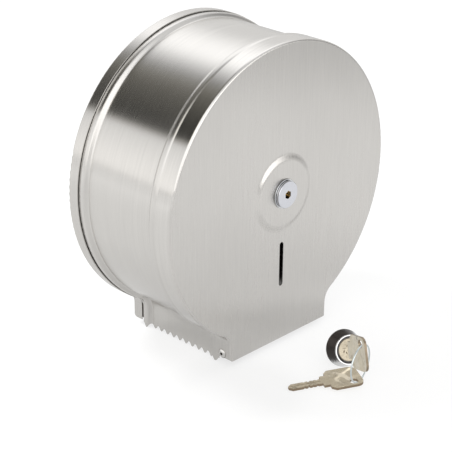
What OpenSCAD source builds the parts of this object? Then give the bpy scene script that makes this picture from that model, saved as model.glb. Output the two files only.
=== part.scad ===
// Jumbo toilet roll dispenser: a round sheet-steel drum on a wall plate, with an open
// mouth below, toothed tear strips and a quarter-turn lock in the middle of its face.
// Every piece is drawn lying on its back, with X to the right, Y up and Z away from the
// wall, and stand_up() then turns it so that Z is up and the face looks along -Y.
// The origin is on the drum's axis, in the plane of the wall.

/* [Drum] */
// Outer radius of the front pan and of the beads
drum_r = 130; // [120:1:140]
// Distance from the wall to the front face
drum_depth = 119; // [112:1:130]
// Thickness of the steel sheet
sheet_t = 0.8; // [0.6:0.1:1]
// Depth of the front pan's turned edge
pan_flange = 17; // [15:0.5:20]
// Outside radius of the front pan's edge
pan_edge_r = 2.5; // [1.5:0.1:3.5]
// Depth of the backplate's turned edge
back_flange = 11.3; // [9:0.1:13]
// How far the backplate's edge stands outside the drum
back_overhang = 1.2; // [1:0.1:2]
// Outside radius of the backplate's edge
back_edge_r = 1.6; // [1.2:0.1:2.5]

/* [Band] */
// How far the middle of the band is set in below its beads
band_inset = 3.2; // [2:0.1:4]
// Width of the front bead, with its slopes
front_bead_w = 10.8; // [9:0.1:13]
// Width of the rear bead, with its slopes
rear_bead_w = 8.8; // [8:0.1:11]
// Length of the band that is tucked under the front pan's edge
tuck = 11; // [9:0.5:13]
// Length of the lip that enters the backplate's edge
lip = 6; // [4:0.5:8]

/* [Chin and teeth] */
// Half the width of the chin
chin_half = 60.5; // [54:0.5:66]
// Height of the chin's straight sides, below its fillets
chin_straight = 13.8; // [12.5:0.1:20]
// Radius where the drum turns into the chin
chin_fillet = 14; // [10:0.5:18]
// Radius of the front pan's bottom corners
chin_corner_r = 3; // [1:0.5:6]
// How far the points of the teeth hang below the chin
teeth_drop = 5.3; // [4:0.1:7]
// Height of a tooth
tooth_h = 3.7; // [2:0.1:4]
// Number of teeth on each side
tooth_count = 12; // [8:1:16]
// Height of the backplate's side flanges at the chin
tab_h = 15; // [10:0.5:15]

/* [Face] */
// Outer radius of the pressed boss
boss_outer_r = 35; // [32:0.5:40]
// Radius of the boss's flat top
boss_inner_r = 28; // [26:0.5:30]
// Height of the boss
boss_h = 2; // [1.5:0.1:3]
// Width of the viewing slot
slot_w = 4.7; // [4.4:0.1:6]
// Length of the viewing slot
slot_l = 41; // [30:0.5:50]
// Distance from the drum's axis to the top of the viewing slot
slot_top = 45; // [42:0.5:55]

/* [Rivets] */
// Radius of a pan rivet's head
pan_rivet_head_r = 4.2; // [3.5:0.1:4.5]
// Radius of a pan rivet's shank
pan_rivet_r = 2.4; // [2:0.1:2.6]
// Distance from the front face to the pan rivets
pan_rivet_inset = 9.8; // [9:0.1:10.5]
// Height of the pan rivets above the bottom of the chin
pan_rivet_up = 5; // [5:0.1:8]
// Radius of the circle of spindle rivets
spindle_rivet_ring_r = 23; // [22.5:0.1:24]
// Number of spindle rivets
spindle_rivet_count = 3; // [3:1:6]

/* [Wall fixing] */
// Distance between the wall holes, across
wall_hole_dx = 140; // [110:1:160]
// Distance between the wall holes, up and down
wall_hole_dz = 120; // [100:1:130]
// Radius of the wall holes
wall_hole_r = 3; // [2:0.1:4]

/* [Spindle] */
// Outer radius of the spindle tube
spindle_r = 16; // [14:0.5:17]
// Wall of the spindle tube
spindle_wall = 1; // [1:0.1:1.5]
// Distance from the front face back to the spindle's front end
lock_room = 16; // [15:0.5:19]
// Radius of the spindle's base flange
spindle_base_r = 27; // [27:0.5:28]
// Thickness of the spindle's base flange
spindle_base_t = 2; // [1.5:0.1:2.5]
// Outer radius of the roll sleeve
sleeve_r = 22; // [21:0.5:24]
// Radius of the sleeve's rear flange
sleeve_flange_r = 32; // [28:0.5:40]
// Thickness of the sleeve's rear flange
sleeve_flange_t = 3; // [2:0.1:4]
// Number of flutes at the sleeve's front end
flute_count = 8; // [4:1:8]
// Length of the flutes, from the sleeve's front end
flute_l = 30; // [20:1:35]
// Thickness of the lock plate
lock_plate_t = 2; // [1.5:0.1:2.5]
// Thickness of the thrust washer
thrust_washer_t = 0.8; // [0.5:0.1:1.5]

/* [Lock] */
// Radius of the lock knob
knob_r = 11.8; // [11:0.1:13]
// Thickness of the lock knob's head
knob_t = 2.5; // [2:0.1:4]
// Width of the hexagon recess, across its flats
hex_flats = 6.5; // [5:0.1:6.7]
// Depth of the hexagon recess
hex_depth = 6; // [4:0.5:8]
// Radius of the bush's collar
collar_r = 12.8; // [12.5:0.1:14]
// Thickness of the bush's collar
collar_t = 1.2; // [0.8:0.1:2]
// Radius of the bush's barrel
barrel_r = 9.5; // [9:0.1:10]
// Length of the bush's barrel behind the face
barrel_l = 13; // [12:0.5:13.5]
// Radius of the knob's stem
stem_r = 5.45; // [5.3:0.05:6]
// Radius of the brass core
core_r = 3.95; // [3.9:0.05:4.1]
// Radius of the core's rear spigot
spigot_r = 3; // [2.6:0.1:3.2]
// Length of the cam bar
cam_l = 22; // [18:0.5:23]
// Width of the cam bar
cam_w = 6.5; // [6.5:0.1:7]
// Thickness of the cam bar
cam_t = 3; // [2:0.1:3.5]
// Width of the lock nut, across its flats
nut_flats = 24; // [22:0.5:27]
// Thickness of the lock nut
nut_t = 5; // [3:0.1:6]

/* [Loose lock and keys] */
// How far to the right of the drum's axis the loose lock lies
loose_x = 12.5; // [0:0.5:25]
// Distance from the wall to the loose lock's rear rim
loose_d = 180.5; // [175:0.5:195]
// How far the loose lock is turned to the left
loose_heading = 24; // [10:1:30]
// Upward tilt of the loose lock
loose_tilt = 19; // [17:0.5:21]
// Rear radius of the loose lock's head
loose_rim_r = 16; // [15.5:0.1:17]
// Front radius of the loose lock's head
loose_face_r = 12.5; // [12.3:0.1:13.5]
// Depth of the loose lock's head
loose_head_l = 12.5; // [10.5:0.1:13.5]
// Length of the loose lock's barrel
loose_barrel_l = 12.5; // [11.5:0.5:15]
// Radius of the loose lock's plug
plug_r = 6.2; // [5.7:0.1:6.4]
// Radius of the plug's face
plug_face_r = 9.8; // [9.2:0.1:10.2]
// Length of the plug's tail, behind the barrel
plug_tail_l = 6; // [5.5:0.5:8]
// Thickness of a key
key_t = 2.2; // [1.8:0.1:2.4]
// Height of a key's blade
blade_h = 7.5; // [6.9:0.1:8]
// Height of a key's bow
bow_h = 29; // [27:0.1:31]
// Length of a key's bow
bow_l = 28; // [26.5:0.1:29.5]
// Length of a key's neck, between its bow and the plug
neck_l = 5; // [4.5:0.1:6.5]
// Radius of the wire of the key ring
ring_wire_r = 0.7; // [0.6:0.05:0.9]

/* [Hidden] */

// Roundness of large, middling and small curves
big_fn = 180;
mid_fn = 72;
small_fn = 40;
// Overshoot of a cut past the surface that it goes through
over = 1;

// Clearances: a shaft that turns in its hole, pieces fixed to each other, and loose neighbours
run_gap = 0.05;
fit_gap = 0.05;
loose_gap = 0.3;

// The chin: its two concave fillets are centred outside the drum, at (fillet_x, -fillet_down)
fillet_x = chin_half + chin_fillet;
fillet_reach = drum_r + chin_fillet;
mouth_a = asin(fillet_x / fillet_reach);
fillet_down = fillet_reach * cos(mouth_a);
// Distances from the axis down to the bottom of the chin, to the nearest 0.1, and to the teeth
chin_drop = round(10 * (fillet_down + chin_straight)) / 10;
teeth_tip = chin_drop + teeth_drop;
// Width of the part of the face that is swept with its edge
face_lap = 40;

// Depths along the band, from the wall
pan_rear = drum_depth - pan_flange;
seam_gap = 0.4;
lip_gap = 0.5;
band_rear = back_flange + seam_gap;
strip_rear = back_flange + loose_gap;
front_bead_foot = pan_rear + seam_gap - front_bead_w;
rear_bead_foot = band_rear + rear_bead_w;
strip_front = pan_rear + 2.4;
tooth_pitch = (strip_front - strip_rear) / tooth_count;
under_pan_r = drum_r - sheet_t - 0.1;
lip_r = drum_r + back_overhang - sheet_t - lip_gap;
rear_crest_r = lip_r + 0.5;
band_r = drum_r - band_inset;
back_r = drum_r + back_overhang;

// The backplate's pressed pad, which the spindle stands on
pad_front = sheet_t + boss_h;
collar_step_r = spindle_r + 3;
collar_step_end = pad_front + spindle_base_t + 2.4;
rivet_hole_r = 2.1;
spindle_end = drum_depth - lock_room;
sleeve_rear = collar_step_end + thrust_washer_t + loose_gap;
sleeve_front = spindle_end - loose_gap;
sleeve_land = 12;
lock_plate_front = spindle_end + lock_plate_t;
lock_plate_r = sleeve_r - 1.5;

// The lock, from the boss backwards
boss_top = drum_depth + boss_h;
collar_top = boss_top + collar_t;
knob_rear = collar_top + loose_gap;
knob_top = knob_rear + knob_t;
core_top = knob_top - hex_depth;
barrel_rear = boss_top - barrel_l;
cam_front = spindle_end - 2 * loose_gap;
cam_rear = cam_front - cam_t;
spigot_top = lock_plate_front + 1;
cam_play = 1;
screw_r = 1.5;
screw_l = 6;

// The loose lock lies on its rim and on the end of its cam, on the plane that the teeth
// stand on
floor_gap = 0.05;
loose_rise = loose_rim_r * cos(loose_tilt) + floor_gap;
loose_head_land = 1;
loose_barrel_r = plug_r + 2;
plug_face = loose_head_l - 0.8;
plug_face_t = 1.3;
plug_end_gap = 0.15;
plug_tail_r = plug_r - 0.9;
plug_cam_t = 2;
plug_cam_rear = -loose_barrel_l - plug_end_gap - plug_cam_t;
plug_cam_reach = loose_rim_r + plug_cam_rear * tan(loose_tilt);
key_seat = plug_face + 0.2;
keyway_end = 1 - loose_barrel_l - plug_tail_l;
blade_l = key_seat - keyway_end - 0.4;
keyway_play = 0.1;
bow_hole_r = 3.7;
bow_hole = [neck_l + bow_l - 8, bow_h / 2 - 5.7];

// The ring hangs in the first key's hole down to the plane below, and the second key leans
// on it from the left
hole_out = key_seat + bow_hole[0];
hole_fwd = hole_out * cos(loose_tilt) - bow_hole[1] * sin(loose_tilt);
hole_rise = loose_rise + bow_hole[1] * cos(loose_tilt) + hole_out * sin(loose_tilt);
ring_top = hole_rise - bow_hole_r + 2 * ring_wire_r;
ring_r = (ring_top - ring_wire_r - floor_gap) / 2;
ring_turn = 12;
ring_middle = [loose_x - hole_fwd * sin(loose_heading), -loose_d - hole_fwd * cos(loose_heading),
    ring_top - ring_r - teeth_tip];
second_heading = -30;
second_off = 9.7;
second_rise = ring_top - ring_r - sqrt(ring_r * ring_r - second_off * second_off);
second_tilt = asin((second_rise - key_t / 2 - floor_gap) / (blade_l + bow_hole[0]));

steel = "lightgray";
chrome = "gainsboro";
brass = "darkkhaki";
nickel = "tan";
zinc = "darkgray";
plastic = "whitesmoke";

// ---- Frames ----

// Turns what is drawn on its back so that it hangs on the wall
module stand_up() {
    rotate([90, 0, 0]) children();
}

// The loose lock's own frame: Z out of its face, Y up, origin at the middle of its rear rim
module loose_frame() {
    translate([loose_x, -loose_d, loose_rise - teeth_tip])
        rotate([90 - loose_tilt, 0, -loose_heading]) children();
}

// ---- Profiles ----

// A soft step from one depth and radius to another, as points [radius, depth]
function soft_step(r0, d0, r1, d1, steps = 6) =
    [for (i = [0:steps]) [r0 + (r1 - r0) * (1 - cos(180 * i / steps)) / 2, d0 + (d1 - d0) * i / steps]];

// The direction square to a line of points, at its i-th point
function square_to(line, i) =
    let (step = line[min(i + 1, len(line) - 1)] - line[max(i - 1, 0)])
    [-step[1], step[0]] / norm(step);

// A line of points moved sideways by a sheet's thickness
function moved(line, by) = [for (i = [0:len(line) - 1]) line[i] + by * square_to(line, i)];

// A sheet of even thickness, whose outer face follows the line
module sheet_profile(line) {
    inner = moved(line, -sheet_t);
    last = len(line) - 1;
    polygon(concat(line, [for (i = [0:last]) inner[last - i]]));
}

// A band's line from the front: under the pan, over the front bead, in, over the rear bead
function band_line(rear_r, rear_end) = concat(
    [[under_pan_r, pan_rear + tuck]],
    soft_step(under_pan_r, pan_rear + seam_gap, drum_r, pan_rear + seam_gap - 0.3 * front_bead_w),
    soft_step(drum_r, front_bead_foot + 0.46 * front_bead_w, band_r, front_bead_foot),
    soft_step(band_r, rear_bead_foot, rear_crest_r, rear_bead_foot - 0.42 * rear_bead_w),
    soft_step(rear_crest_r, band_rear + 0.4 * rear_bead_w, rear_r, band_rear),
    rear_end < band_rear ? [[rear_r, rear_end]] : []);

// A turned edge: a quarter ring at the corner and a straight flange, in [radius, depth]
module edge_profile(outer_r, corner_r, corner_d, flange_end, up) {
    translate([outer_r - corner_r, corner_d]) mirror([0, up ? 0 : 1]) intersection() {
        difference() {
            circle(corner_r, $fn = small_fn);
            circle(corner_r - sheet_t, $fn = small_fn);
        }
        square(corner_r);
    }
    low = min(corner_d, flange_end);
    translate([outer_r - sheet_t, low]) square([sheet_t, abs(flange_end - corner_d)]);
}

// ---- Sweeps along the rim: round the drum, through the two fillets and down the chin ----

// Everything between the two lines from the axis through the middles of the fillets
module mouth_wedge() {
    linear_extrude(drum_depth + back_edge_r) polygon([[0, 0], [fillet_x, -fillet_down],
        [fillet_x, -2 * chin_drop], [-fillet_x, -2 * chin_drop], [-fillet_x, -fillet_down]]);
}

module round_drum() {
    difference() {
        rotate_extrude($fn = big_fn) children();
        mouth_wedge();
    }
}

module down_chin(bottom) {
    for (side = [0, 1]) mirror([side, 0, 0]) {
        intersection() {
            translate([fillet_x, -fillet_down, 0]) rotate_extrude($fn = mid_fn)
                translate([fillet_reach, 0]) mirror([1, 0]) children();
            linear_extrude(drum_depth + back_edge_r)
                polygon([[0, 0], [fillet_x, -fillet_down], [0, -fillet_down]]);
        }
        translate([chin_half - drum_r, -fillet_down, 0]) rotate([90, 0, 0])
            linear_extrude(bottom - fillet_down) children();
    }
}

// A boss pressed out of a sheet whose front face lies at face_d
module boss(face_d) {
    steps = 10;
    width = boss_outer_r - boss_inner_r;
    rise = [for (i = [0:steps])
        [boss_outer_r - width * i / steps, face_d + boss_h * (1 - cos(180 * i / steps)) / 2]];
    top = face_d + boss_h;
    rotate_extrude($fn = big_fn) polygon(concat(rise, [[0, top], [0, top - sheet_t]],
        [for (i = [0:steps]) rise[steps - i] - [0, sheet_t]]));
}

module slot_2d(width, length) {
    straight_half = (length - width) / 2;
    square([width, 2 * straight_half], center = true);
    for (end = [-1, 1]) translate([0, end * straight_half]) circle(width / 2, $fn = small_fn);
}

module hexagon(flats) {
    circle(flats / sqrt(3), $fn = 6);
}

// A straight hole or shaft from one depth to another
module bar(r, from_d, to_d, fn = small_fn) {
    translate([0, 0, from_d]) cylinder(r = r, h = to_d - from_d, $fn = fn);
}

// A ring from one depth to another
module ring(outer_r, inner_r, from_d, to_d, fn = mid_fn) {
    difference() {
        bar(outer_r, from_d, to_d, fn);
        bar(inner_r, from_d - over, to_d + over, fn);
    }
}

// A low domed head that stands on a depth, domed along +Z
module dome(r, h, from_d) {
    ball_r = (r * r + h * h) / (2 * h);
    translate([0, 0, from_d]) rotate_extrude($fn = small_fn) intersection() {
        translate([0, h - ball_r]) circle(ball_r, $fn = 4 * small_fn);
        square([r, h]);
    }
}

// Places of the pan rivets: the first looks right, the second is its mirror
module at_pan_rivets() {
    for (side = [0, 1]) mirror([side, 0, 0])
        translate([chin_half, pan_rivet_up - chin_drop, drum_depth - pan_rivet_inset])
            rotate([0, 90, 0]) children();
}

module at_spindle_rivets() {
    for (i = [0:spindle_rivet_count - 1]) rotate([0, 0, 90 + i * 360 / spindle_rivet_count])
        translate([spindle_rivet_ring_r, 0, 0]) children();
}

module at_wall_holes() {
    for (x = [-0.5, 0.5], y = [-0.5, 0.5]) translate([x * wall_hole_dx, y * wall_hole_dz, 0]) children();
}

// ---- On the wall ----

module backplate() stand_up() color(steel) {
    plate_r = back_r - back_edge_r;
    difference() {
        union() {
            linear_extrude(sheet_t) difference() {
                union() {
                    circle(plate_r, $fn = big_fn);
                    translate([-chin_half + sheet_t, chin_corner_r - chin_drop])
                        square([2 * (chin_half - sheet_t), chin_drop - chin_corner_r]);
                }
                circle(boss_outer_r, $fn = big_fn);
            }
            round_drum()
                edge_profile(back_r, back_edge_r, back_edge_r, back_flange, false);
            boss(sheet_t);
            for (side = [0, 1]) mirror([side, 0, 0]) backplate_tab();
        }
        at_wall_holes() bar(wall_hole_r, -over, sheet_t + over);
        at_spindle_rivets() bar(rivet_hole_r, -over, pad_front + over);
    }
}

// The flange beside the chin, cut round at its lower corner on the wall side
module backplate_tab() {
    tab_depth = back_flange - 1.5;
    translate([chin_half, -chin_drop, 0]) rotate([0, -90, 0]) linear_extrude(sheet_t) {
        translate([chin_corner_r, 0]) square([tab_depth - chin_corner_r, tab_h]);
        translate([0, chin_corner_r]) square([chin_corner_r, tab_h - chin_corner_r]);
        translate([chin_corner_r, chin_corner_r]) circle(chin_corner_r, $fn = small_fn);
    }
}

module spindle() stand_up() color(zinc) {
    difference() {
        union() {
            bar(spindle_base_r, pad_front, pad_front + spindle_base_t, mid_fn);
            bar(collar_step_r, pad_front, collar_step_end, mid_fn);
            bar(spindle_r, pad_front, spindle_end, mid_fn);
        }
        bar(spindle_r - spindle_wall, pad_front - over, spindle_end + over, mid_fn);
        at_spindle_rivets() bar(rivet_hole_r, 0, drum_depth);
    }
}

module spindle_rivets() stand_up() color(zinc) at_spindle_rivets() {
    head_foot = pad_front + spindle_base_t;
    bar(rivet_hole_r - fit_gap, boss_h, head_foot);
    dome(1.8 * rivet_hole_r, 1.3, head_foot);
    bar(1.6 * rivet_hole_r, boss_h - 1.2, boss_h);
}

module thrust_washer() stand_up() color(plastic)
    ring(sleeve_r - 0.5, spindle_r + loose_gap, collar_step_end, collar_step_end + thrust_washer_t);

module roll_sleeve() stand_up() color(plastic) {
    chamfer = 1.5;
    flute_r = 1.5;
    difference() {
        union() {
            bar(sleeve_flange_r, sleeve_rear, sleeve_rear + sleeve_flange_t, mid_fn);
            bar(sleeve_r, sleeve_rear, sleeve_front - chamfer, mid_fn);
            translate([0, 0, sleeve_front - chamfer])
                cylinder(r1 = sleeve_r, r2 = sleeve_r - chamfer, h = chamfer, $fn = mid_fn);
        }
        bar(spindle_r + run_gap, sleeve_rear - over, sleeve_front + over, mid_fn);
        bar(spindle_r + 1, sleeve_rear + sleeve_land, sleeve_front - sleeve_land, mid_fn);
        for (i = [0:flute_count - 1]) rotate([0, 0, (i + 0.5) * 360 / flute_count])
            translate([sleeve_r + 0.3, 0, 0])
                bar(flute_r, sleeve_front - flute_l, sleeve_front + over);
    }
}

// The disc welded on the spindle's end: it keeps the sleeve on, and the cam bar enters its slot
module lock_plate() stand_up() color(zinc) {
    chamfer = 0.6;
    difference() {
        union() {
            bar(lock_plate_r, spindle_end, lock_plate_front - chamfer, mid_fn);
            translate([0, 0, lock_plate_front - chamfer])
                cylinder(r1 = lock_plate_r, r2 = lock_plate_r - chamfer, h = chamfer, $fn = mid_fn);
        }
        translate([0, 0, spindle_end - over]) linear_extrude(lock_plate_t + 2 * over)
            square([cam_w + 2 * cam_play, cam_l + 2 * cam_play], center = true);
    }
}

// ---- The cover ----

module front_pan() stand_up() color(steel) {
    difference() {
        union() {
            translate([0, 0, drum_depth - sheet_t]) linear_extrude(sheet_t) difference() {
                union() {
                    circle(drum_r - face_lap / 2, $fn = big_fn);
                    translate([face_lap / 2 - chin_half, -chin_drop])
                        square([2 * chin_half - face_lap, chin_drop]);
                }
                circle(boss_outer_r, $fn = big_fn);
            }
            boss(drum_depth);
            round_drum() pan_rim();
            down_chin(chin_drop) pan_rim();
        }
        bar(barrel_r + fit_gap, drum_depth - over, boss_top + over, mid_fn);
        translate([0, -slot_top - slot_l / 2, drum_depth - sheet_t - over])
            linear_extrude(sheet_t + 2 * over) slot_2d(slot_w, slot_l);
        at_pan_rivets() bar(pan_rivet_r + fit_gap, -5, 5);
        for (side = [0, 1]) mirror([side, 0, 0]) chin_corner_cut();
    }
}

// The pan's rim in section: its turned edge and the outer part of its face
module pan_rim() {
    edge_profile(drum_r, pan_edge_r, drum_depth - pan_edge_r, pan_rear, true);
    translate([drum_r - face_lap, drum_depth - sheet_t]) square([face_lap - pan_edge_r, sheet_t]);
}

// What is cut off to round a bottom corner of the pan
module chin_corner_cut() {
    translate([chin_half - chin_corner_r, chin_corner_r - chin_drop, pan_rear - over])
        linear_extrude(pan_flange + 2 * over) difference() {
            translate([0, -chin_corner_r - over]) square(chin_corner_r + over);
            circle(chin_corner_r, $fn = small_fn);
        }
}

module drum_band() stand_up() color(steel) {
    difference() {
        union() {
            round_drum() sheet_profile(band_line(lip_r, band_rear - lip));
            down_chin(teeth_tip) sheet_profile(band_line(lip_r, band_rear));
        }
        tear_edge_cut();
        at_pan_rivets() bar(pan_rivet_r + fit_gap, -9, 5);
    }
}

// What is cut off below the band's two ends: a wave of teeth, then a step up behind the pan
module tear_edge_cut() {
    points_a_tooth = 12;
    width = 2 * (chin_half + over);
    floor_down = teeth_tip + 2 * over;
    wave = [for (i = [0:tooth_count * points_a_tooth]) let (turn = 360 * i / points_a_tooth)
        [strip_rear + tooth_pitch * i / points_a_tooth,
         tooth_h * (1 - pow((1 - cos(turn)) / 2, 1.3)) - teeth_tip]];
    behind = strip_rear - 4 * over;
    step_up = 0.8 - chin_drop;
    translate([width / 2, 0, 0]) rotate([0, -90, 0]) linear_extrude(width)
        polygon(concat([[behind, -floor_down], [behind, tooth_h - teeth_tip]], wave,
            [[strip_front, step_up], [drum_depth, step_up], [drum_depth, -floor_down]]));
}

module pan_rivets() stand_up() color(chrome) at_pan_rivets() {
    stack = chin_half - (chin_half - drum_r + under_pan_r - sheet_t);
    mandrel_r = 1.25;
    difference() {
        union() {
            bar(pan_rivet_r, -stack, 0);
            dome(pan_rivet_head_r, 1.4, 0);
        }
        bar(mandrel_r, -0.5, 3);
    }
    translate([0, 0, -stack]) mirror([0, 0, 1]) dome(1.4 * pan_rivet_r, 1.1, 0);
}

// ---- The lock in the face ----

module lock_bush() stand_up() color(chrome) {
    bevel = 0.3;
    difference() {
        union() {
            bar(collar_r, boss_top, collar_top - bevel, mid_fn);
            translate([0, 0, collar_top - bevel])
                cylinder(r1 = collar_r, r2 = collar_r - bevel, h = bevel, $fn = mid_fn);
            bar(barrel_r, barrel_rear, boss_top, mid_fn);
        }
        bar(stem_r + run_gap, barrel_rear - over, collar_top + over, mid_fn);
    }
}

module lock_washer() stand_up() color(zinc)
    ring(collar_r + 1, barrel_r + fit_gap, boss_top - sheet_t - 1, boss_top - sheet_t);

module lock_nut() stand_up() color(zinc) {
    nut_front = boss_top - sheet_t - 1;
    difference() {
        translate([0, 0, nut_front - nut_t]) linear_extrude(nut_t) hexagon(nut_flats);
        bar(barrel_r + fit_gap, nut_front - nut_t - over, nut_front + over, mid_fn);
    }
}

module lock_knob() stand_up() color(chrome) {
    bevel = 0.4;
    difference() {
        union() {
            bar(knob_r, knob_rear, knob_top - bevel, mid_fn);
            translate([0, 0, knob_top - bevel])
                cylinder(r1 = knob_r, r2 = knob_r - bevel, h = bevel, $fn = mid_fn);
            bar(stem_r, barrel_rear + loose_gap, knob_rear, mid_fn);
        }
        translate([0, 0, core_top - over]) linear_extrude(hex_depth + 2 * over) rotate(90) hexagon(hex_flats);
        bar(core_r + fit_gap, barrel_rear - over, core_top);
    }
}

module lock_core() stand_up() color(brass) {
    difference() {
        union() {
            bar(core_r, spigot_top, core_top);
            bar(spigot_r, cam_rear, spigot_top);
        }
        bar(screw_r + fit_gap, cam_rear - over, cam_rear + screw_l + over);
    }
}

module cam_bar() stand_up() color(zinc) difference() {
    translate([0, 0, cam_rear]) linear_extrude(cam_t) intersection() {
        square([cam_w, cam_l], center = true);
        circle(cam_l / 2, $fn = mid_fn);
    }
    bar(spigot_r + fit_gap, cam_rear - over, cam_front + over);
}

module cam_screw() stand_up() color(zinc) {
    head_r = 3.8;
    head_t = 2.2;
    slot_depth = 0.9;
    difference() {
        bar(head_r, cam_rear - head_t, cam_rear);
        for (turn = [0, 90]) rotate([0, 0, turn])
            translate([-2.2, -0.45, cam_rear - head_t - over]) cube([4.4, 0.9, over + slot_depth]);
    }
    bar(screw_r, cam_rear, cam_rear + screw_l);
}

// ---- The loose lock, its two keys and their ring ----

module loose_lock() loose_frame() color(chrome) {
    seat_r = plug_face_r + run_gap;
    lip_inner_r = loose_face_r - 0.9;
    bevel_h = loose_head_l - plug_face + 0.2;
    bevel_slope = (lip_inner_r - seat_r) / bevel_h;
    difference() {
        union() {
            bar(loose_rim_r, 0, loose_head_land, mid_fn);
            translate([0, 0, loose_head_land]) cylinder(r1 = loose_rim_r, r2 = loose_face_r,
                h = loose_head_l - loose_head_land, $fn = mid_fn);
            bar(loose_barrel_r, -loose_barrel_l, 0, mid_fn);
        }
        bar(plug_r + run_gap, -loose_barrel_l - over, loose_head_l + over, mid_fn);
        bar(seat_r, plug_face - plug_face_t - plug_end_gap, loose_head_l + over, mid_fn);
        translate([0, 0, loose_head_l - bevel_h]) cylinder(r1 = seat_r,
            r2 = lip_inner_r + bevel_slope * over, h = bevel_h + over, $fn = mid_fn);
    }
}

module loose_plug() loose_frame() color(nickel) difference() {
    union() {
        bar(plug_r, -loose_barrel_l, plug_face, mid_fn);
        bar(plug_face_r, plug_face - plug_face_t, plug_face, mid_fn);
        bar(plug_tail_r, -loose_barrel_l - plug_tail_l, -loose_barrel_l);
    }
    translate([-key_t / 2 - keyway_play, -blade_h / 2 - keyway_play, keyway_end])
        cube([key_t + 2 * keyway_play, blade_h + 2 * keyway_play, plug_face - keyway_end + over]);
}

// A flat cam on the plug's tail, which reaches down to the plane that the lock lies on
module plug_cam() loose_frame() color(zinc) translate([0, 0, plug_cam_rear]) {
    half = 4;
    difference() {
        union() {
            cylinder(r = plug_tail_r + 2, h = plug_cam_t, $fn = small_fn);
            translate([-half, -plug_cam_reach, 0]) cube([2 * half, plug_cam_reach, plug_cam_t]);
        }
        bar(plug_tail_r + fit_gap, -over, plug_cam_t + over);
    }
}

// A spring clip on the plug's tail behind the cam, open on one side
module plug_clip() loose_frame() color(zinc) difference() {
    front = plug_cam_rear - 0.1;
    ring(plug_tail_r + 1.5, plug_tail_r + fit_gap, front - 1, front);
    translate([0, -2.5, front - 1 - over]) cube([2 * plug_r, 5, 1 + 2 * over]);
}

// A flat key, blade to the left: X runs from its tip to its bow and 0 is where it meets the plug
module key() color(nickel) difference() {
    union() {
        linear_extrude(key_t, center = true) key_blade();
        linear_extrude(key_t, center = true) key_bow();
    }
    translate([0, 0, -key_t]) linear_extrude(2 * key_t)
        translate(bow_hole) circle(bow_hole_r, $fn = small_fn);
    for (face = [-1, 1]) translate([-blade_l - over, -0.7, face * key_t / 2 - 0.45])
        cube([blade_l, 1.4, 0.9]);
}

module key_blade() {
    half = blade_h / 2;
    tip_l = 3;
    tip_half = 0.9;
    cut_depths = [0.9, 0.5, 1.2, 0.7];
    cut_pitch = 3.7;
    difference() {
        polygon([[over, half], [tip_l - blade_l, half], [-blade_l, tip_half], [-blade_l, -tip_half],
            [tip_l - blade_l, -half], [over, -half]]);
        for (edge = [-1, 1], i = [0:len(cut_depths) - 1]) {
            at = -cut_pitch * (i + 1.1 + 0.15 * edge);
            floor_y = half - cut_depths[i];
            polygon([[at - 1.2, edge * (half + 0.2)], [at - 0.4, edge * floor_y],
                [at + 0.4, edge * floor_y], [at + 1.2, edge * (half + 0.2)]]);
        }
    }
}

module key_bow() {
    shoulder_half = 7.4;
    near_cut = 3.4;
    corner_r = 6.3;
    bow_half = bow_h / 2;
    bow_end = neck_l + bow_l;
    translate([0, -shoulder_half]) square([neck_l + over, 2 * shoulder_half]);
    polygon([[neck_l, bow_half - near_cut], [neck_l + near_cut, bow_half], [bow_end - corner_r, bow_half],
        [bow_end - corner_r, -bow_half], [neck_l + near_cut, -bow_half], [neck_l, near_cut - bow_half]]);
    translate([neck_l + near_cut, corner_r - bow_half]) square([bow_l - near_cut, bow_h - 2 * corner_r]);
    for (edge = [-1, 1]) translate([bow_end - corner_r, edge * (bow_half - corner_r)])
        circle(corner_r, $fn = small_fn);
}

module lock_key() loose_frame() translate([0, 0, key_seat]) rotate([0, -90, 0]) key();

module key_ring() color(chrome) translate(ring_middle) rotate([90, 0, ring_turn])
    rotate_extrude($fn = mid_fn) translate([ring_r, 0]) circle(ring_wire_r, $fn = 16);

module second_key()
    translate(ring_middle + [-second_off * cos(ring_turn), -second_off * sin(ring_turn),
        second_rise + ring_r - ring_top])
        rotate([0, -second_tilt, second_heading]) rotate([180, 0, 0])
            translate([-bow_hole[0], -bow_hole[1], 0]) key();

backplate();
spindle();
spindle_rivets();
thrust_washer();
roll_sleeve();
lock_plate();
front_pan();
drum_band();
pan_rivets();
lock_bush();
lock_washer();
lock_nut();
lock_knob();
lock_core();
cam_bar();
cam_screw();
loose_lock();
loose_plug();
plug_cam();
plug_clip();
lock_key();
key_ring();
second_key();
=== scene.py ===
"""Looks of a jumbo toilet roll dispenser in brushed steel, with a spare lock and two keys before it."""

import math

import bmesh
import bpy
from mathutils import Matrix, Vector


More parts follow.
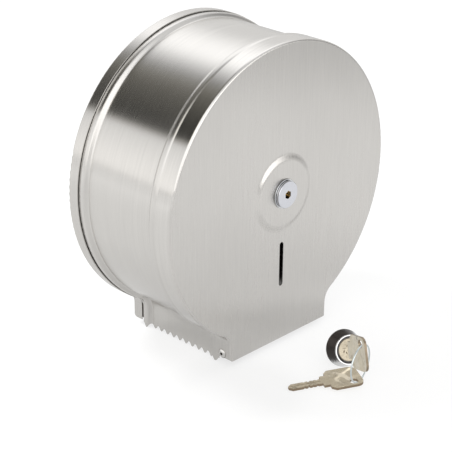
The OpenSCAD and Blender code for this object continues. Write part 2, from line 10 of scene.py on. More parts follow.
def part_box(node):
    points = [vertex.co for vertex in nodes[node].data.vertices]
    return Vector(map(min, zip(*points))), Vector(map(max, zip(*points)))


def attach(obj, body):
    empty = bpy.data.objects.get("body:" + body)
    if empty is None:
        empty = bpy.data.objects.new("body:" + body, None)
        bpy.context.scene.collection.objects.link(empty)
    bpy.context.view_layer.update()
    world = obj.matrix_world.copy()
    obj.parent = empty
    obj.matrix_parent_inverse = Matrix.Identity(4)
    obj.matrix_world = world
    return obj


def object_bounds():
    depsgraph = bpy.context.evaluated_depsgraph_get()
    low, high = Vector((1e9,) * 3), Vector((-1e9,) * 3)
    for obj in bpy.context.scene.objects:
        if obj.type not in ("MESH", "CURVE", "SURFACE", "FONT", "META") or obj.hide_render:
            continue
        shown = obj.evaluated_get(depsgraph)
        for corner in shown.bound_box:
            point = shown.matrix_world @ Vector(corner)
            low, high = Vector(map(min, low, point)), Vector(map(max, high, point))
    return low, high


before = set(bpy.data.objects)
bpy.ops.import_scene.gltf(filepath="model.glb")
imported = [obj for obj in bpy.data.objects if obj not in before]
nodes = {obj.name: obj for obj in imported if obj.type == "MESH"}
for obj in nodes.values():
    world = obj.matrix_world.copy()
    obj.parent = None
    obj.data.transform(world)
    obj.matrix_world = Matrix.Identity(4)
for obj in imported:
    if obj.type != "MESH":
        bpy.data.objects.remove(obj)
cad_low, cad_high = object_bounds()
scene = bpy.context.scene

# Lengths are in metres and places in the frame's coordinates. A pair gives a soft border's start and end.
ORIGIN = (0.0, 0.0, 0.0)
X_AXIS, Y_AXIS, Z_AXIS = (1.0, 0.0, 0.0), (0.0, 1.0, 0.0), (0.0, 0.0, 1.0)
WHITE = (1.0, 1.0, 1.0, 1.0)
FLOOR_Z = cad_low.z
PLATE_BODY = "wall_unit"
LOOSE_SET = ("loose_lock", "loose_plug", "plug_cam", "plug_clip", "lock_key", "key_ring", "second_key")


# ---------------------------------------------------------------- node helpers

class Tree:
    """One material's or world's node tree, with short calls for the nodes that are used again and again."""

    def __init__(self, owner):
        owner.use_nodes = True
        self.nodes = owner.node_tree.nodes
        self.links = owner.node_tree.links
        self.nodes.clear()

    def add(self, kind, **settings):
        node = self.nodes.new(kind)
        for key, value in settings.items():
            setattr(node, key, value)
        return node

    def put(self, value, socket):
        """Links another node's output to a socket, or sets the socket to a number, a colour or a vector."""
        if isinstance(value, bpy.types.NodeSocket):
            self.links.new(value, socket)
        else:
            socket.default_value = value

    def math(self, operation, a, b=0.0, clamp=False):
        node = self.add("ShaderNodeMath", operation=operation, use_clamp=clamp)
        self.put(a, node.inputs[0])
        self.put(b, node.inputs[1])
        return node.outputs[0]

    def plus(self, a, b):
        return self.math("ADD", a, b)

    def times(self, a, b):
        return self.math("MULTIPLY", a, b)

    def larger(self, a, b):
        return self.math("MAXIMUM", a, b)

    def vector(self, operation, a, b=None, output="Vector"):
        """Vector arithmetic. Its output is a vector, or a number where "Value" is asked for."""
        node = self.add("ShaderNodeVectorMath", operation=operation)
        self.put(a, node.inputs[0])
        if b is not None:
            self.put(b, node.inputs[1])
        return node.outputs[output]

    def split(self, vector):
        """The x, y and z of a vector."""
        node = self.add("ShaderNodeSeparateXYZ")
        self.links.new(vector, node.inputs[0])
        return node.outputs

    def point(self):
        """The surface point in the object's own coordinates, which stay with the piece when it moves."""
        return self.add("ShaderNodeTexCoord").outputs["Object"]

    def normal(self):
        """The surface's direction in the object's own coordinates."""
        return self.add("ShaderNodeTexCoord").outputs["Normal"]

    def remap(self, value, low, high, out_low=0.0, out_high=1.0, smooth=True):
        """The value carried from one range to another, and held at the new range's ends."""
        node = self.add("ShaderNodeMapRange")
        node.interpolation_type = "SMOOTHSTEP" if smooth else "LINEAR"
        for key, number in (("From Min", low), ("From Max", high), ("To Min", out_low), ("To Max", out_high)):
            node.inputs[key].default_value = number
        self.put(value, node.inputs["Value"])
        return node.outputs["Result"]

    def ramp(self, value, stops, mode="LINEAR"):
        """A grey that follows the stops, which are pairs of a place from 0 to 1 and a level."""
        node = self.add("ShaderNodeValToRGB")
        node.color_ramp.interpolation = mode
        elements = node.color_ramp.elements
        while len(elements) < len(stops):
            elements.new(0.5)
        for element, (place, level) in zip(elements, stops):
            element.position = place
            element.color = (level, level, level, 1.0)
        self.put(value, node.inputs[0])
        return node.outputs[0]

    def mix(self, factor, a, b, blend="MIX"):
        """Two colours mixed. The node's colour sockets are the seventh and eighth in and the third out."""
        node = self.add("ShaderNodeMix", data_type="RGBA", blend_type=blend)
        self.put(factor, node.inputs["Factor"])
        self.put(a, node.inputs[6])
        self.put(b, node.inputs[7])
        return node.outputs[2]

    def mix_vector(self, factor, a, b):
        """Two vectors mixed. The node's vector sockets are the fifth and sixth in and the second out."""
        node = self.add("ShaderNodeMix", data_type="VECTOR")
        self.put(factor, node.inputs["Factor"])
        self.put(a, node.inputs[4])
        self.put(b, node.inputs[5])
        return node.outputs[1]

    def mix_shader(self, factor, a, b):
        node = self.add("ShaderNodeMixShader")
        for value, socket in zip((factor, a, b), node.inputs):
            self.links.new(value, socket)
        return node.outputs[0]

    def noise(self, scale, detail, rough, stretch=(1, 1, 1), turn=(0, 0, 0)):
        """Noise from 0 to 1, with scale times stretch cells per metre along each axis."""
        mapping = self.add("ShaderNodeMapping")
        mapping.inputs["Scale"].default_value = stretch
        mapping.inputs["Rotation"].default_value = turn
        self.links.new(self.point(), mapping.inputs["Vector"])
        node = self.add("ShaderNodeTexNoise")
        node.inputs["Scale"].default_value = scale
        node.inputs["Detail"].default_value = detail
        node.inputs["Roughness"].default_value = rough
        self.links.new(mapping.outputs[0], node.inputs["Vector"])
        return node.outputs["Fac"]

    def edge(self, radius):
        """1 on the sharp edges of a piece and 0 away from them."""
        bevel = self.add("ShaderNodeBevel", samples=4)
        bevel.inputs["Radius"].default_value = radius
        normal = self.add("ShaderNodeNewGeometry").outputs["Normal"]
        alike = self.vector("DOT_PRODUCT", bevel.outputs[0], normal, output="Value")
        return self.remap(alike, 0.80, 0.995, 1.0, 0.0)

    def bump(self, height, distance, strength=1.0, under=None):
        """A bumpy normal. Where another bump's normal is given as under, this one is added to it."""
        node = self.add("ShaderNodeBump")
        self.put(strength, node.inputs["Strength"])
        node.inputs["Distance"].default_value = distance
        self.put(height, node.inputs["Height"])
        if under is not None:
            self.links.new(under, node.inputs["Normal"])
        return node.outputs[0]

    def surface(self, **values):
        """A Principled shader as the material's surface. The values are for its inputs."""
        shader = self.add("ShaderNodeBsdfPrincipled")
        for key, value in values.items():
            self.put(value, shader.inputs[key.replace("_", " ")])
        self.output(shader.outputs[0], "ShaderNodeOutputMaterial")

    def output(self, shader, kind):
        self.links.new(shader, self.add(kind).inputs["Surface"])


def material(name):
    """A new material, and its node tree to fill."""
    made = bpy.data.materials.new(name)
    return made, Tree(made)


def dress(finish, *names):
    """Gives CAD nodes a finish in their own material slots."""
    for name in names:
        for slot in nodes[name].material_slots:
            slot.material = finish


def scaled(colour, factor):
    """A colour made lighter or darker, and never lighter than white."""
    return tuple(min(1.0, c * factor) for c in colour) + (1.0,)


def shades(t, base, spread, value):
    """A colour that goes from a little darker to a little lighter than the base as the value rises."""
    return t.mix(value, scaled(base, 1 - spread), scaled(base, 1 + spread))


def rubbed(t, colour, base, radius, amount, gain):
    """The colour, with the base made lighter along sharp edges, where use has polished them."""
    return t.mix(t.times(t.edge(radius), amount), colour, scaled(base, gain))


def grain_noise(t, cells, detail):
    """Noise that is drawn out. The cells are counted per metre along x, y and z."""
    return t.noise(scale=1.0, detail=detail, rough=0.6, stretch=cells)


def axis_distance(t, point, axis):
    """Distance of a surface point from a line through a point. The axis has length 1."""
    away = t.vector("SUBTRACT", t.point(), point)
    return t.vector("LENGTH", t.vector("CROSS_PRODUCT", away, axis), output="Value")


def facing(t, axis):
    """How far a surface looks along an axis: 1 straight along it, -1 straight against it."""
    return t.vector("DOT_PRODUCT", t.normal(), axis, output="Value")


# ---------------------------------------------------------------- brushed sheet

STEEL = (0.652, 0.636, 0.612)
ANISOTROPY = 0.8

# Noise cells per metre along x, y and z: wide streaks and hairlines, round the drum and upright
ROUND_STREAKS, ROUND_HAIRS = (11, 950, 11), (40, 5200, 40)
UPRIGHT_STREAKS, UPRIGHT_HAIRS = (1000, 120, 26), (5200, 500, 130)
STREAK_DETAIL, HAIR_DETAIL = 3.0, 2.0
STREAK_SHARE, HAIR_SHARE = 0.6, 0.4
GRAIN_HEIGHT = 0.00003
ROUND_BUMP, FACE_BUMP = 0.12, 0.03

# How far the colour and the roughness move with the grain and with large clouds
GRAIN_SHADES, GRAIN_ROUGH = 0.06, 0.03
CLOUD_TONE, CLOUD_AMOUNT, CLOUD_ROUGH = 0.86, 0.10, 0.02

# The inside of the drum is darker and duller: partly the sheet's unpolished back, partly painted shade.
DRUM_MIDDLE = (0.0, -0.06, 0.0)
RIM_FRONT = (-0.0145, -0.0125)
INSIDE_TONE, INSIDE_ROUGH = 0.3, 0.25


def inward(t):
    """1 where a surface looks at the drum's middle, and 0 on its outside and near the wall."""
    away = t.vector("NORMALIZE", t.vector("SUBTRACT", t.point(), DRUM_MIDDLE))
    outward = t.vector("DOT_PRODUCT", away, t.normal(), output="Value")
    clear_of_wall = t.remap(t.split(t.point())[1], *RIM_FRONT, 1.0, 0.0)
    return t.times(t.remap(outward, -0.06, -0.02, 1.0, 0.0), clear_of_wall)


def brushed_sheet(name, tone, rough, face_rough=None):
    """Brushed stainless sheet. Its grain runs round the drum.

    Where face_rough is given, faces that look along the drum's axis have that roughness and upright grain.
    """
    made, t = material(name)
    streaks = grain_noise(t, ROUND_STREAKS, STREAK_DETAIL)
    hairs = grain_noise(t, ROUND_HAIRS, HAIR_DETAIL)
    if face_rough is None:
        gloss, depth = rough, ROUND_BUMP
        across = t.add("ShaderNodeCombineXYZ").outputs[0]
        across.node.inputs["Y"].default_value = 1.0
    else:
        flat = t.remap(t.math("ABSOLUTE", t.split(t.normal())[1]), 0.75, 0.95)
        streaks = t.mix(flat, streaks, grain_noise(t, UPRIGHT_STREAKS, STREAK_DETAIL))
        hairs = t.mix(flat, hairs, grain_noise(t, UPRIGHT_HAIRS, HAIR_DETAIL))
        across = t.mix_vector(flat, Y_AXIS, X_AXIS)
        gloss = t.remap(flat, 0.0, 1.0, rough, face_rough, smooth=False)
        depth = t.remap(flat, 0.0, 1.0, ROUND_BUMP, FACE_BUMP, smooth=False)
    cloud = t.noise(scale=9.0, detail=3.0, rough=0.55)
    grain = t.plus(t.times(streaks, STREAK_SHARE), t.times(hairs, HAIR_SHARE))
    light = t.remap(grain, 0.3, 0.7, smooth=False)
    inside = inward(t)
    base = tuple(c * tone for c in STEEL)
    colour = shades(t, base, GRAIN_SHADES, light)
    colour = t.mix(t.remap(cloud, 0.35, 0.75, 0.0, CLOUD_AMOUNT), colour, scaled(base, CLOUD_TONE))
    colour = rubbed(t, colour, base, radius=0.0005, amount=0.6, gain=1.16)
    # The inside is darker: partly the sheet's unpolished back, partly painted shade
    colour = t.mix(inside, colour, scaled(base, INSIDE_TONE))
    dull = t.remap(light, 0.0, 1.0, -GRAIN_ROUGH, GRAIN_ROUGH, smooth=False)
    dull = t.plus(dull, t.remap(cloud, 0.3, 0.8, -CLOUD_ROUGH, CLOUD_ROUGH))
    dull = t.plus(t.plus(dull, gloss), t.times(inside, INSIDE_ROUGH))
    t.surface(Base_Color=colour, Metallic=1.0, Roughness=dull, Anisotropic=ANISOTROPY, Tangent=across,
              Normal=t.bump(grain, GRAIN_HEIGHT, depth))
    return made


# ---------------------------------------------------------------- plated metal and plastic

SCRATCH_HEIGHT, SCRATCH_BUMP = 0.00001, 0.3
SPARK_HEIGHT, SPARK_BUMP = 0.00004, 0.25
EDGE_RADIUS, EDGE_GAIN = 0.0003, 1.12
DARKENING_ROUGH, RECESS_ROUGH = 0.18, 0.3


def scuffed(t):
    """Cloudiness and fine scratches, as two noises."""
    cloud = t.noise(scale=160.0, detail=4.0, rough=0.6)
    scratch = t.noise(scale=900.0, detail=3.0, rough=0.7, stretch=(1, 1, 7), turn=(0.5, 0.3, 0.2))
    return cloud, scratch


def scratch_rough(t, scratch, rough, scuffs):
    """Roughness that is higher by up to scuffs in the scratches."""
    return t.remap(scratch, 0.35, 0.75, rough, rough + scuffs, smooth=False)


def plated(name, base, rough, spread=0.04, scuffs=0.10, blotch_colour=None):
    """A plated or polished metal: fine scuffs, rubbed edges, and darker blotches in the given colour: dirt on
    most pieces, painted shade on the slot's lip.
    """
    made, t = material(name)
    cloud, scratch = scuffed(t)
    colour = shades(t, base, spread, cloud)
    if blotch_colour:
        colour = t.mix(t.remap(cloud, 0.48, 0.72, 0.0, 0.55), colour, blotch_colour + (1.0,))
    colour = rubbed(t, colour, base, EDGE_RADIUS, amount=0.7, gain=EDGE_GAIN)
    dull = t.plus(scratch_rough(t, scratch, rough, scuffs), t.remap(cloud, 0.4, 0.8, 0.0, scuffs * 0.6))
    t.surface(Base_Color=colour, Metallic=1.0, Roughness=dull,
              Normal=t.bump(scratch, SCRATCH_HEIGHT, SCRATCH_BUMP))
    return made


def marked_metal(name, base, rough, darkening, where, spread=0.06, scuffs=0.08, waves=0.0):
    """Plated metal with darker marks, and with shallow waves in its surface where waves gives their height.

    The marks are stains and dirt on some pieces, and painted shade and painted reflections on others. Their
    mask, where, is a function that takes the tree and gives a socket that runs from 0 to 1.
    """
    made, t = material(name)
    cloud, scratch = scuffed(t)
    mask = where(t)
    colour = rubbed(t, shades(t, base, spread, cloud), base, EDGE_RADIUS, amount=0.6, gain=EDGE_GAIN)
    colour = t.mix(mask, colour, darkening + (1.0,))
    dull = t.plus(scratch_rough(t, scratch, rough, scuffs), t.times(mask, DARKENING_ROUGH))
    ground = t.bump(t.noise(scale=70.0, detail=1.0, rough=0.4), waves) if waves else None
    t.surface(Base_Color=colour, Metallic=1.0, Roughness=dull,
              Normal=t.bump(scratch, SCRATCH_HEIGHT, SCRATCH_BUMP, ground))
    return made


def moulded(name, base, rough):
    """A moulded plastic with a fine spark-eroded grain."""
    made, t = material(name)
    grain = t.noise(scale=1800.0, detail=3.0, rough=0.6)
    cloud = t.noise(scale=30.0, detail=3.0, rough=0.6)
    colour = rubbed(t, shades(t, base, 0.05, cloud), base, radius=0.0004, amount=0.5, gain=1.15)
    t.surface(Base_Color=colour, Roughness=t.remap(cloud, 0.3, 0.7, rough - 0.05, rough + 0.06),
              Normal=t.bump(grain, SPARK_HEIGHT, SPARK_BUMP))
    return made


# ---------------------------------------------------------------- stains, dirt, painted shade and painted reflections

# The chin's rivets: a point on their axis, and the radii of the bore and the head
RIVET_SPOT = (0.0, -0.1092, -0.132)
RIVET_BORE, RIVET_HEAD = (0.0012, 0.0015), (0.0034, 0.0041)

# The knob in the face: its recess, and the upper border of the painted shade in it
KNOB_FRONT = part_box("lock_knob")[0].y
RECESS_RADIUS, RECESS_DEPTH = (0.0040, 0.0042), (0.0001, 0.0003)
SHADE_TOP, SHADE_SLOPE = (-0.0018, -0.0004), 0.35
LIT_RECESS_BRASS, RECESS_SHADE = (1.0, 0.84, 0.54, 1.0), (0.012, 0.009, 0.006, 1.0)
# The knob's colour, and the dark colour of the painted reflection lines round its side
KNOB_COLOUR, DARK_REFLECTION_LINES = (0.66, 0.67, 0.71), (0.06, 0.052, 0.045, 1.0)

# Noise cells of the dark lines round turned pieces, a painted reflection, per metre along x, y and z
RING_LINE_CELLS = (8, 1500, 8)

# The loose lock: a point on its axis, the side of its painted dark reflection, and the radii of the rings in
# its front
LOOSE_SPOT = (0.0125, -0.1805, FLOOR_Z + 0.01518)
LOOSE_AXIS = (-0.3845, -0.8638, 0.3256)
DARK_REFLECTION_SIDE, SPECKLE = (-0.66, -0.02, 0.75), 1.1
KEYWAY_DIRT, PLUG_GAP = (0.0050, 0.0066), (0.0092, 0.0095)
DARK_RING_START, DARK_RING_END, CONE_START = (0.0098, 0.0100), (0.0117, 0.0120), (0.0126, 0.0130)

# The directions that the keys' flat faces look along
FIRST_KEY_AXIS, SECOND_KEY_AXIS = (0.9135, -0.4067, 0.0), Z_AXIS


def rivet_hole(t):
    """Painted shade in the blind rivet's hollow middle and in a dark line round its head, on both sides of
    the chin.
    """
    out = axis_distance(t, RIVET_SPOT, X_AXIS)
    return t.larger(t.remap(out, *RIVET_BORE, 1.0, 0.0), t.remap(out, *RIVET_HEAD, 0.0, 0.75))


def turned_lines(t):
    """Dark lines that run round a turned piece's side: a painted reflection."""
    line = t.remap(grain_noise(t, RING_LINE_CELLS, HAIR_DETAIL), 0.49, 0.52)
    return t.times(line, t.remap(t.math("ABSOLUTE", facing(t, Y_AXIS)), 0.3, 0.6, 0.9, 0.0))


def core_shade(t):
    """Painted shade on the lower part of the brass. Its upper border slopes."""
    x, _, z = t.split(t.point())
    return t.remap(t.plus(z, t.times(x, SHADE_SLOPE)), *SHADE_TOP, 1.0, 0.0)


def painted_dark_reflections(t):
    """Painted dark reflections on the loose lock: its cone is dark and speckled above and bright below, and a
    dark ring runs round its front.
    """
    noise = t.noise(scale=1500.0, detail=3.0, rough=0.7)
    speck = t.times(t.math("SUBTRACT", noise, 0.5), SPECKLE)
    upper = t.remap(t.plus(facing(t, DARK_REFLECTION_SIDE), speck), 0.12, 0.36, 0.0, 0.96)
    out = axis_distance(t, LOOSE_SPOT, LOOSE_AXIS)
    dark_ring = t.times(t.remap(out, *DARK_RING_START), t.remap(out, *DARK_RING_END, 1.0, 0.0))
    return t.larger(t.times(upper, t.remap(out, *CONE_START)), t.times(dark_ring, 0.9))


def plug_dirt_and_shade(t):
    """Painted shade in the gap round the plug, and dirt on its face that is thickest round the keyway."""
    out = axis_distance(t, LOOSE_SPOT, LOOSE_AXIS)
    dirt = t.remap(t.noise(scale=420.0, detail=3.0, rough=0.7), 0.52, 0.60, 0.0, 0.8)
    dirt = t.times(dirt, t.remap(out, *KEYWAY_DIRT, 1.0, 0.15))
    return t.larger(t.remap(out, *PLUG_GAP, 0.0, 0.85), dirt)


def plate_edge(axis):
    """The mask of a flat key's narrow sides, darkened as painted shade, and of stains on its faces, which
    look along the axis.
    """
    def mask(t):
        side = t.remap(t.math("ABSOLUTE", facing(t, axis)), 0.5, 0.85, 0.85, 0.0)
        darkening = t.remap(t.noise(scale=150.0, detail=3.0, rough=0.6), 0.54, 0.74, 0.0, 0.35)
        return t.larger(side, darkening)
    return mask


def knob_metal(name):
    """Chromed knob: dark lines round its side, a painted reflection, and a recess painted bright brass above,
    as painted light, and near-black below, as painted shade.
    """
    made, t = material(name)
    cloud, scratch = scuffed(t)
    recess = t.remap(axis_distance(t, ORIGIN, Y_AXIS), *RECESS_RADIUS, 1.0, 0.0)
    behind_front = t.remap(t.split(t.point())[1], *(KNOB_FRONT + depth for depth in RECESS_DEPTH))
    recess = t.times(recess, behind_front)
    colour = t.mix(turned_lines(t), shades(t, KNOB_COLOUR, 0.06, cloud), DARK_REFLECTION_LINES)
    # The recess is painted bright brass above, as painted light, and near-black below, as painted shade
    colour = t.mix(recess, colour, t.mix(core_shade(t), LIT_RECESS_BRASS, RECESS_SHADE))
    dull = t.plus(scratch_rough(t, scratch, rough=0.12, scuffs=0.05), t.times(recess, RECESS_ROUGH))
    t.surface(Base_Color=colour, Metallic=1.0, Roughness=dull,
              Normal=t.bump(scratch, SCRATCH_HEIGHT, SCRATCH_BUMP))
    return made


# ---------------------------------------------------------------- finishes

pan_steel = brushed_sheet("pan_steel", tone=1.0, rough=0.19, face_rough=0.30)
band_steel = brushed_sheet("band_steel", tone=0.985, rough=0.24)
plate_steel = brushed_sheet("plate_steel", tone=0.96, rough=0.24, face_rough=0.33)
zinc = plated("zinc", (0.60, 0.62, 0.64), rough=0.30, spread=0.08, scuffs=0.12, blotch_colour=(0.50, 0.50, 0.44))
ring_steel = plated("ring_steel", (0.62, 0.67, 0.67), rough=0.14, scuffs=0.08)
dark_chrome = plated("dark_chrome", (0.62, 0.62, 0.62), rough=0.10, spread=0.10, blotch_colour=(0.30, 0.25, 0.20))
# The slot's lip is near-black as painted shade
shade_dark_lip_steel = plated("shade_dark_lip_steel", (0.10, 0.082, 0.066), rough=0.42, spread=0.12, blotch_colour=(0.05, 0.04, 0.03))
# Painted shade in the rivets' hollow middles and round their heads
rivet_steel = marked_metal("rivet_steel", (0.70, 0.69, 0.67), rough=0.16, darkening=(0.10, 0.08, 0.05),
                   where=rivet_hole)
knob_chrome = knob_metal("knob_chrome")
# Painted shade on the lower part of the lock's brass core
brass = marked_metal("brass", (0.95, 0.76, 0.38), rough=0.50, darkening=(0.03, 0.024, 0.014),
             where=core_shade, spread=0.10)
# Painted reflection: dark lines round the bush's side
bush_chrome = marked_metal("bush_chrome", (0.68, 0.69, 0.70), rough=0.12, darkening=(0.05, 0.045, 0.04),
                   where=turned_lines, scuffs=0.05)
# Painted dark reflections on the loose lock's cone and in a ring round its front
lock_chrome = marked_metal("lock_chrome", (0.72, 0.72, 0.72), rough=0.08, darkening=(0.024, 0.017, 0.014),
                   where=painted_dark_reflections, spread=0.10)
# The keys' narrow sides are darkened as painted shade; their faces have stains
first_key_nickel = marked_metal("first_key_nickel", (0.72, 0.66, 0.53), rough=0.16, darkening=(0.20, 0.15, 0.10),
                        where=plate_edge(FIRST_KEY_AXIS), spread=0.08, scuffs=0.10, waves=0.004)
second_key_nickel = marked_metal("second_key_nickel", (0.74, 0.66, 0.51), rough=0.15, darkening=(0.20, 0.14, 0.09),
                         where=plate_edge(SECOND_KEY_AXIS), spread=0.08, scuffs=0.10, waves=0.004)
# Painted shade in the gap round the plug; dirt on its face
plug_nickel = marked_metal("plug_nickel", (0.40, 0.355, 0.275), rough=0.22, darkening=(0.07, 0.05, 0.03),
                   where=plug_dirt_and_shade, spread=0.14, scuffs=0.14, waves=0.0008)
sleeve_plastic = moulded("sleeve_plastic", (0.72, 0.72, 0.70), rough=0.42)

dress(pan_steel, "front_pan")
dress(band_steel, "drum_band")
dress(plate_steel, "backplate", "lock_plate")
dress(zinc, "spindle", "spindle_rivets", "thrust_washer", "lock_washer", "lock_nut", "cam_bar", "cam_screw")
dress(rivet_steel, "pan_rivets")
dress(knob_chrome, "lock_knob")
dress(bush_chrome, "lock_bush")
dress(brass, "lock_core")
dress(lock_chrome, "loose_lock")
dress(dark_chrome, "plug_cam", "plug_clip")
dress(plug_nickel, "loose_plug")
dress(first_key_nickel, "lock_key")
dress(second_key_nickel, "second_key")
dress(ring_steel, "key_ring")
dress(sleeve_plastic, "roll_sleeve")

# The photograph's face doesn't mirror the small things in front of it
for name in LOOSE_SET:
    nodes[name].visible_glossy = False


# ---------------------------------------------------------------- trim on the wall plate

# The root carries the tab's sheet on round the fillet, between two radii and two angles in degrees
FILLET_X, FILLET_Z = 0.0745, -0.12323
ROOT_INNER, ROOT_OUTER = 0.0140, 0.0148
ROOT_START, ROOT_END, ROOT_STEPS = 125.6, 174.6, 16
ROOT_DEPTH = 0.0098

# The lip's outline in x and y, for the right-hand side, and its lower and upper end
LIP_OUTLINE = [(0.0597, -0.0055), (0.0597, -0.0088), (0.0590, -0.0100), (0.0590, -0.0130),
               (0.0584, -0.0130), (0.0584, -0.0098), (0.0591, -0.0086), (0.0591, -0.0055)]
LIP_BOTTOM, LIP_TOP = -0.1355, -0.1215


def extruded(name, outline, low, high, axis, finish):
    """A sheet piece: its outline drawn in a plane and carried along an axis, y or z."""
    count = len(outline)
    if axis == "y":
        points = [(a, level, b) for level in (low, high) for a, b in outline]
    else:
        points = [(a, b, level) for level in (low, high) for a, b in outline]
    faces = [(i, (i + 1) % count, count + (i + 1) % count, count + i) for i in range(count)]
    faces += [tuple(range(count - 1, -1, -1)), tuple(range(count, 2 * count))]
    mesh = bpy.data.meshes.new(name)
    mesh.from_pydata(points, [], faces)
    shape = bmesh.new()
    shape.from_mesh(mesh)
    bmesh.ops.recalc_face_normals(shape, faces=shape.faces)
    shape.to_mesh(mesh)
    shape.free()
    mesh.materials.append(finish)
    piece = bpy.data.objects.new(name, mesh)
    scene.collection.objects.link(piece)
    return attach(piece, PLATE_BODY)


def fillet_arc(side, radius, turns):
    """Points round the fillet's centre on one side of the chin: -1 left, 1 right."""
    return [(side * (FILLET_X + radius * math.cos(a)), FILLET_Z + radius * math.sin(a)) for a in turns]


turns = [math.radians(ROOT_START + i * (ROOT_END - ROOT_START) / ROOT_STEPS) for i in range(ROOT_STEPS + 1)]
for side, word in ((-1, "left"), (1, "right")):
    root = fillet_arc(side, ROOT_INNER, turns) + fillet_arc(side, ROOT_OUTER, turns[::-1])
    extruded("tab_root_" + word, root, 0.0, -ROOT_DEPTH, "y", plate_steel)
    # A joggled lip that closes the slot between the tab and the cover. Its near-black colour is painted
    # shade.
    lip = [(side * a, b) for a, b in LIP_OUTLINE]
    extruded("tab_lip_" + word, lip, LIP_BOTTOM, LIP_TOP, "z", shade_dark_lip_steel)


# ---------------------------------------------------------------- floor

FLOOR_REACH = 6.0
PAPER_COLOUR, PAPER_SPREAD = (0.88, 0.88, 0.875), 0.012
PAPER_GLOW, GLOW_SHARE = 1.06, 0.72

# Tones that the steel mirrors from the paper, by distance from the foot as a share of FOOT_REACH. They are
# painted reflections, with a dip near the foot that is a painted contact shadow.
# The left side has its own, because the photograph's drum mirrors a darker floor there than its face does.
FOOT, FOOT_REACH = (0.0, -0.06, FLOOR_Z), 1.2
FOOT_TONES = [(0.0, 0.98), (0.04, 0.90), (0.068, 0.68), (0.092, 0.71), (0.115, 0.86), (0.15, 0.81),
              (0.20, 0.86), (0.30, 0.89), (0.46, 0.93), (0.55, 0.95), (0.64, 0.72), (0.78, 0.50), (1.0, 0.60)]
LEFT_TONES = [(0.0, 0.60), (0.08, 0.61), (0.20, 0.75), (0.33, 0.77), (0.50, 0.78), (0.72, 0.84),
              (1.0, 1.0)]
LEFT_BORDER = (-0.12, -0.03)

# Tones that the camera sees, by distance from the chin's left corner as a share of CORNER_REACH: a painted
# soft shadow in front of that corner
CORNER, CORNER_REACH = (-0.084, -0.150, FLOOR_Z), 0.2
CORNER_TONES = [(0.0, 0.925), (0.18, 0.93), (0.38, 1.0)]


def studio_floor():
    """Pale paper under the object. It takes the object's shadow, and its glow keeps it near white."""
    mesh = bpy.data.meshes.new("studio_floor")
    corners = [(x * FLOOR_REACH, y * FLOOR_REACH, FLOOR_Z) for x, y in ((-1, -1), (1, -1), (1, 1), (-1, 1))]
    mesh.from_pydata(corners, [], [(0, 1, 2, 3)])
    floor = bpy.data.objects.new("studio_floor", mesh)
    scene.collection.objects.link(floor)

    paper, t = material("studio_paper")
    lit = t.add("ShaderNodeBsdfDiffuse")
    cloud = t.noise(scale=3.0, detail=3.0, rough=0.5)
    t.put(shades(t, PAPER_COLOUR, PAPER_SPREAD, cloud), lit.inputs["Color"])
    ground = t.add("ShaderNodeNewGeometry")
    place = ground.outputs["Position"]
    to_foot = t.vector("DISTANCE", place, FOOT, output="Value")
    to_corner = t.vector("DISTANCE", place, CORNER, output="Value")
    away = t.math("DIVIDE", to_foot, FOOT_REACH)
    left = t.remap(t.split(place)[0], *LEFT_BORDER, 1.0, 0.0)
    # Painted reflections of the paper, with a painted contact shadow near the foot
    mirrored = t.mix(left, t.ramp(away, FOOT_TONES), t.ramp(away, LEFT_TONES))
    # Painted soft shadow, seen by the camera, in front of the chin's left corner
    shown = t.ramp(t.math("DIVIDE", to_corner, CORNER_REACH), CORNER_TONES, mode="EASE")
    rays = t.add("ShaderNodeLightPath").outputs
    glow = t.add("ShaderNodeEmission")
    glow.inputs["Strength"].default_value = PAPER_GLOW
    t.put(t.mix(rays["Is Camera Ray"], mirrored, shown), glow.inputs["Color"])
    seen = t.math("ADD", rays["Is Camera Ray"],
                  t.plus(rays["Is Glossy Ray"], rays["Is Transmission Ray"]), clamp=True)
    above = t.mix_shader(t.times(seen, GLOW_SHARE), lit.outputs[0], glow.outputs[0])
    below = t.add("ShaderNodeBsdfTransparent").outputs[0]
    t.output(t.mix_shader(ground.outputs["Backfacing"], above, below), "ShaderNodeOutputMaterial")
    mesh.materials.append(paper)


# ---------------------------------------------------------------- room and lamp

ROOM_GREY = (0.92, 0.92, 0.92, 1.0)
ROOM_STRENGTH = 0.95

# Levels of the ceiling, by degrees from the right over the top to the left, and where it starts and ends
CEILING = [(0, 0.90), (32, 1.00), (44, 1.38), (56, 1.68), (68, 1.68), (80, 0.90), (90, 0.37), (104, 0.17),
           (116, 0.10), (128, 0.045), (139, 0.03), (145, 1.05), (152, 1.14), (164, 1.28), (176, 1.38),
           (180, 1.32)]
CEILING_FRONT, CEILING_BACK, HORIZON = (-0.40, 0.10), (0.86, 0.97), (-0.02, 0.02)

# Tints of the room's levels: at the bottom, at the top and in the ceiling's dark stretch
LOW_TINT, HIGH_TINT, DARK_TINT = (1.0, 0.99, 0.975, 1.0), (0.985, 0.99, 1.0, 1.0), (1.0, 0.96, 0.84, 1.0)
TINT_HEIGHT = (-0.2, 0.9)
DARK_START, DARK_END = (86 / 180, 100 / 180), (140 / 180, 144 / 180)

# Soft spots in the room: the direction, the inner and outer angle in degrees, and the level
SPOTS = [((-0.70, -0.50, 0.50), 22, 42, 1.75), ((0.86, -0.50, 0.10), 18, 30, 0.34),
         ((0.42, -0.89, 0.18), 8, 20, 1.7), ((0.12, -0.97, 0.12), 18, 30, 2.3)]

LAMP_PLACE, LAMP_AIM = Vector((-0.40, 0.75, 1.10)), Vector((0.0, -0.10, -0.10))
LAMP_SIDE, LAMP_WATTS = 0.5, 15.0


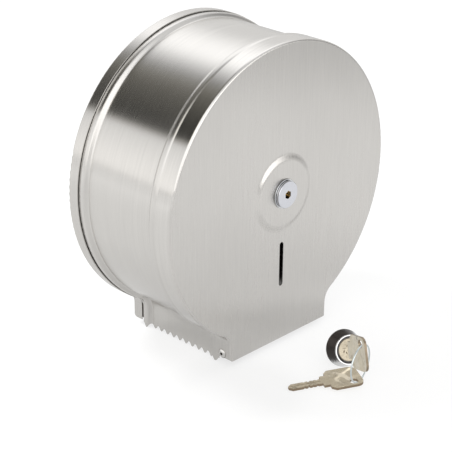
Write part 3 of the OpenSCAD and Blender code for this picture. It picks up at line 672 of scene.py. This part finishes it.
def studio_world():
    """A soft room that the camera sees as white: a ceiling with a dark stretch, and four soft spots."""
    world = bpy.data.worlds.new("studio")
    scene.world = world
    w = Tree(world)
    direction = w.add("ShaderNodeTexCoord").outputs["Generated"]
    x, y, z = w.split(direction)
    turn = w.math("DIVIDE", w.math("ARCTAN2", z, x), math.pi)
    ceiling = w.ramp(turn, [(degrees / 180, level) for degrees, level in CEILING])
    behind = w.times(w.remap(y, *CEILING_FRONT), w.remap(y, *CEILING_BACK, 1.0, 0.0))
    level = w.mix(w.times(behind, w.remap(z, *HORIZON)), ROOM_GREY, ceiling)
    for aim, inner, outer, value in SPOTS:
        alike = w.vector("DOT_PRODUCT", direction, Vector(aim).normalized(), output="Value")
        amount = w.remap(alike, math.cos(math.radians(outer)), math.cos(math.radians(inner)))
        level = w.mix(amount, level, (value, value, value, 1.0))
    dark = w.times(w.times(behind, w.remap(turn, *DARK_START)), w.remap(turn, *DARK_END, 1.0, 0.0))
    tint = w.mix(dark, w.mix(w.remap(z, *TINT_HEIGHT), LOW_TINT, HIGH_TINT), DARK_TINT)
    shine = w.add("ShaderNodeBackground")
    w.put(w.mix(1.0, level, tint, blend="MULTIPLY"), shine.inputs["Color"])
    shine.inputs["Strength"].default_value = ROOM_STRENGTH
    white = w.add("ShaderNodeBackground")
    white.inputs["Color"].default_value = WHITE
    camera_ray = w.add("ShaderNodeLightPath").outputs["Is Camera Ray"]
    w.output(w.mix_shader(camera_ray, shine.outputs[0], white.outputs[0]), "ShaderNodeOutputWorld")


def top_lamp():
    """A soft square lamp above and behind the object, which the steel doesn't mirror."""
    lamp = bpy.data.lights.new("top_lamp", "AREA")
    lamp.size = LAMP_SIDE
    lamp.energy = LAMP_WATTS
    holder = bpy.data.objects.new("top_lamp", lamp)
    scene.collection.objects.link(holder)
    holder.location = LAMP_PLACE
    holder.rotation_mode = "QUATERNION"
    holder.rotation_quaternion = (LAMP_AIM - LAMP_PLACE).to_track_quat("-Z", "Y")
    holder.visible_glossy = False


# ---------------------------------------------------------------- camera

# The photograph's side and the lens's focal length in pixels, and the sensor's side in millimetres
PHOTO_SIDE, FOCAL_LENGTH, SENSOR = 452, 1518, 36
EYE = (-0.8629, -0.8910, 0.4970)
SIGHT_LINE = (0.6529, 0.6336, -0.4149)
ROLL = math.radians(0.45)


def photo_camera():
    """The photograph's view of the object."""
    forward = Vector(SIGHT_LINE).normalized()
    right = forward.cross(Vector(Z_AXIS)).normalized()
    up = right.cross(forward)
    rolled_right = math.cos(ROLL) * right + math.sin(ROLL) * up
    rolled_up = -math.sin(ROLL) * right + math.cos(ROLL) * up
    camera = bpy.data.cameras.new("photo_camera")
    camera.sensor_width = SENSOR
    camera.lens = FOCAL_LENGTH / PHOTO_SIDE * SENSOR
    holder = bpy.data.objects.new("photo_camera", camera)
    scene.collection.objects.link(holder)
    turned = Matrix((rolled_right, rolled_up, -forward)).transposed().to_4x4()
    holder.matrix_world = Matrix.Translation(EYE) @ turned
    scene.camera = holder


studio_floor()
studio_world()
top_lamp()
photo_camera()
scene.view_settings.view_transform = "Standard"
